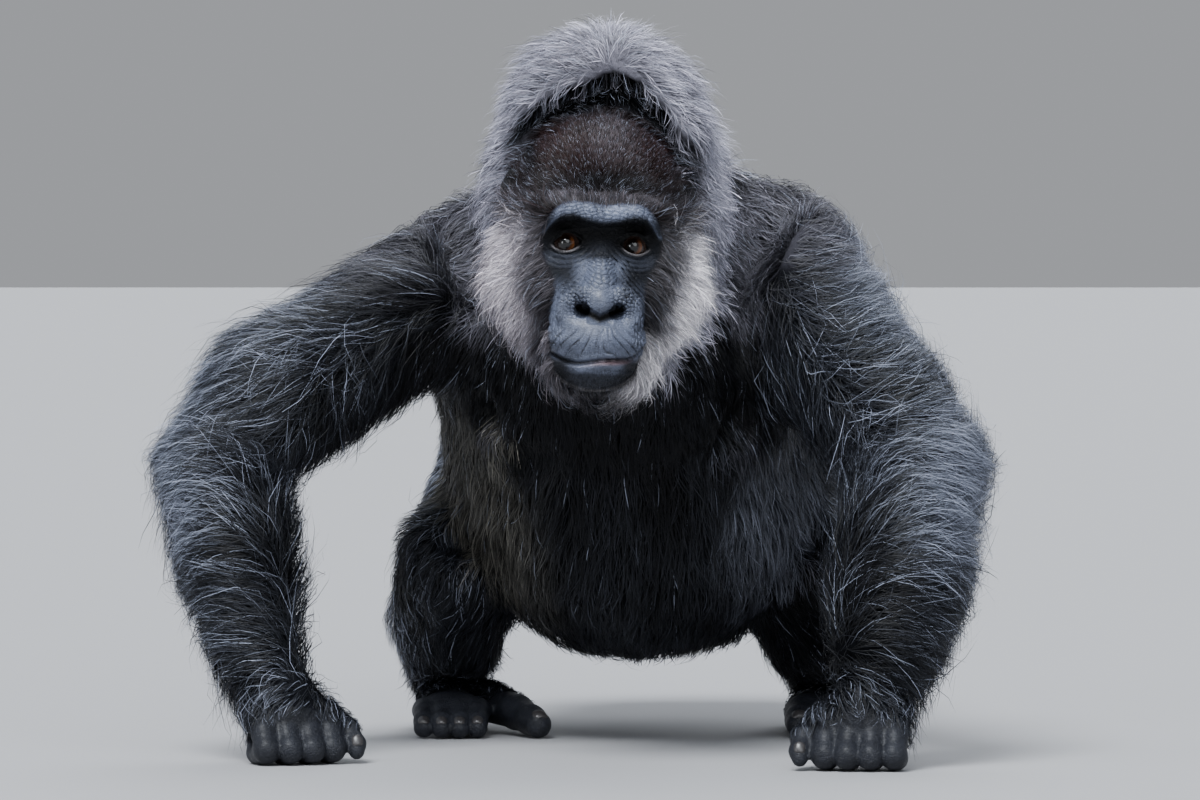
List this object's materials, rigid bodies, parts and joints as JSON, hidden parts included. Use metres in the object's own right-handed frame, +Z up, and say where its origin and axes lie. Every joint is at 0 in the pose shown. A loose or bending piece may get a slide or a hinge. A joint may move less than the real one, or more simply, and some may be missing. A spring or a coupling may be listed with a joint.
{
  "type": "gorilla",
  "caption": "Life-size female western lowland gorilla standing on its knuckles and soles, head lowered and elbows out, a still museum-type model",
  "frame": {"origin": "on the floor, below the middle of the animal's own box", "axes": "+Z up; +Y from the face back to the rump, so the animal faces -Y; +X to the animal's left side"},
  "size_m": [0.8484, 0.9324, 0.7414],
  "materials": {
    "black_coat": "short to long black hair with silver-grey tips",
    "grey_coat": "dense lilac-grey hair, darker at the roots",
    "brown_coat": "short dark reddish-brown hair",
    "bare_skin": "bare, wrinkled, half-glossy slate-black skin",
    "eye": "wet, dark amber-brown eye"
  },
  "bodies": {
    "root": {"chest": "black_coat", "belly": "black_coat", "hips": "black_coat", "neck": "grey_coat", "head": "brown_coat", "muzzle": "bare_skin", "jaw": "bare_skin", "upper_arm_right": "black_coat", "upper_arm_left": "black_coat", "forearm_right": "black_coat", "forearm_left": "black_coat", "hand_right": "bare_skin", "hand_left": "bare_skin", "thigh_right": "black_coat", "thigh_left": "black_coat", "shin_right": "black_coat", "shin_left": "black_coat", "foot_right": "bare_skin", "foot_left": "bare_skin", "eye_right": "eye", "eye_left": "eye", "ear_right": "bare_skin", "ear_left": "bare_skin"}
  },
  "joints": []
}
